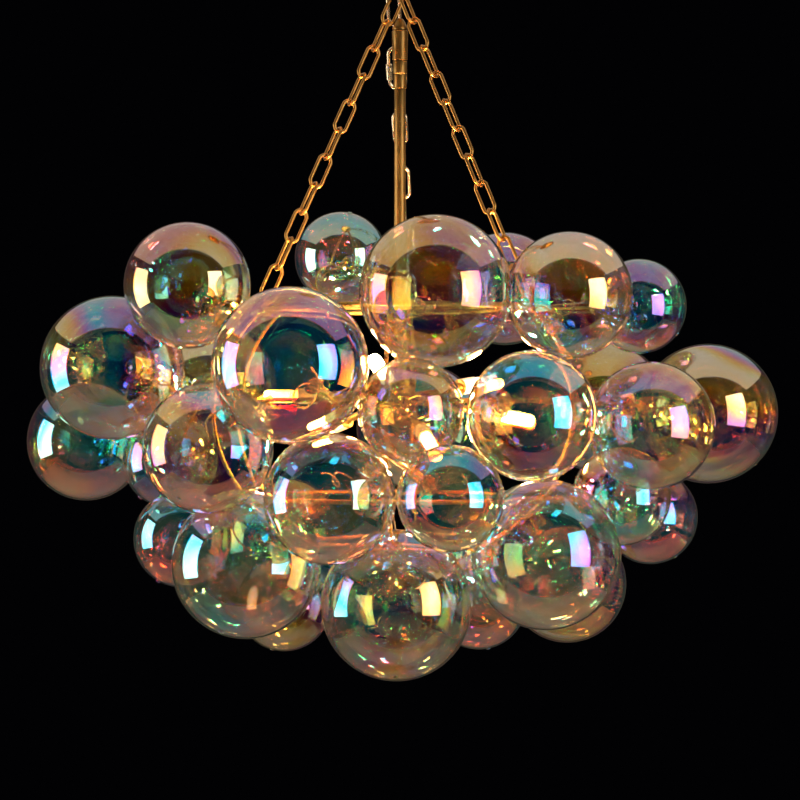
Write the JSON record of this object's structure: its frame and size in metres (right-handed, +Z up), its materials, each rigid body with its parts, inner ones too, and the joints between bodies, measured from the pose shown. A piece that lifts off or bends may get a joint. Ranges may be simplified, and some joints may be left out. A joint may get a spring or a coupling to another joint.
{
  "type": "bubble chandelier",
  "caption": "Cluster chandelier of clear blown glass globes with a rainbow film round a wire cage, hung on three chains from a ring, with a brass stem and capsule lamps inside.",
  "frame": {"origin": "the point of the ceiling over the stem, level with the feet of the ceiling strap", "axes": "+Z up, -Y towards the front of the light as pictured, +X to its right side"},
  "size_m": [0.7888, 0.7929, 0.7998],
  "materials": {
    "polished_gilt_brass": "polished, warm gilt",
    "satin_brass": "satin",
    "gilt_wire": "brazed brass wire, semi-gloss",
    "zinc_plated_steel": "zinc plated",
    "lamp_ceramic": "unglazed ceramic",
    "frosted_lamp_glass": "frosted, lit warm white",
    "rainbow_film_glass": "clear, polished, with a rainbow film"
  },
  "bodies": {
    "ceiling_fitting": {"ceiling_strap": "zinc_plated_steel", "canopy_cover": "satin_brass", "canopy_hook": "polished_gilt_brass"},
    "ring": {"apex_ring": "polished_gilt_brass"},
    "cluster": {"chain_left": "polished_gilt_brass", "chain_right": "polished_gilt_brass", "chain_rear_upper": "polished_gilt_brass", "quick_link": "polished_gilt_brass", "chain_rear_lower": "polished_gilt_brass", "stem_cap": "satin_brass", "stem_coupler": "satin_brass", "stem_collar": "satin_brass", "stem_tube": "satin_brass", "frame_cage": "gilt_wire", "lamp_spider": "gilt_wire", "lamp_holder_1": "lamp_ceramic", "lamp_holder_2": "lamp_ceramic", "lamp_holder_3": "lamp_ceramic", "lamp_holder_4": "lamp_ceramic", "lamp_holder_5": "lamp_ceramic", "lamp_holder_6": "lamp_ceramic", "capsule_lamp_1": "frosted_lamp_glass", "capsule_lamp_2": "frosted_lamp_glass", "capsule_lamp_3": "frosted_lamp_glass", "capsule_lamp_4": "frosted_lamp_glass", "capsule_lamp_5": "frosted_lamp_glass", "capsule_lamp_6": "frosted_lamp_glass", "globe_large_01": "rainbow_film_glass", "globe_large_02": "rainbow_film_glass", "globe_large_03": "rainbow_film_glass", "globe_large_04": "rainbow_film_glass", "globe_large_05": "rainbow_film_glass", "globe_large_06": "rainbow_film_glass", "globe_large_07": "rainbow_film_glass", "globe_large_08": "rainbow_film_glass", "globe_large_09": "rainbow_film_glass", "globe_large_10": "rainbow_film_glass", "globe_large_11": "rainbow_film_glass", "globe_large_12": "rainbow_film_glass", "globe_large_13": "rainbow_film_glass", "globe_medium_01": "rainbow_film_glass", "globe_medium_02": "rainbow_film_glass", "globe_medium_03": "rainbow_film_glass", "globe_medium_04": "rainbow_film_glass", "globe_medium_05": "rainbow_film_glass", "globe_medium_06": "rainbow_film_glass", "globe_medium_07": "rainbow_film_glass", "globe_medium_08": "rainbow_film_glass", "globe_medium_09": "rainbow_film_glass", "globe_small_01": "rainbow_film_glass", "globe_small_02": "rainbow_film_glass", "globe_small_03": "rainbow_film_glass", "globe_small_04": "rainbow_film_glass", "globe_small_05": "rainbow_film_glass", "globe_small_06": "rainbow_film_glass", "globe_small_07": "rainbow_film_glass", "globe_small_08": "rainbow_film_glass", "globe_small_09": "rainbow_film_glass", "globe_small_10": "rainbow_film_glass"},
    "sleeve": {"quick_link_sleeve": "polished_gilt_brass"}
  },
  "joints": [
    {"name": "ring_swing", "type": "hinge", "parent": "ceiling_fitting", "child": "ring", "pos_m": [0, 0, -0.0563], "axis": [0.7547, 0.6561, 0], "range_deg": [-10, 10]},
    {"name": "cluster_swing", "type": "hinge", "parent": "ring", "child": "cluster", "pos_m": [0, 0, -0.0874], "axis": [0.6561, -0.7547, 0], "range_deg": [-10, 10]},
    {"name": "quick_link_sleeve_travel", "type": "slide", "parent": "cluster", "child": "sleeve", "axis": [-0.0489, -0.4151, 0.9085], "range_m": [0, 0.0095]}
  ]
}
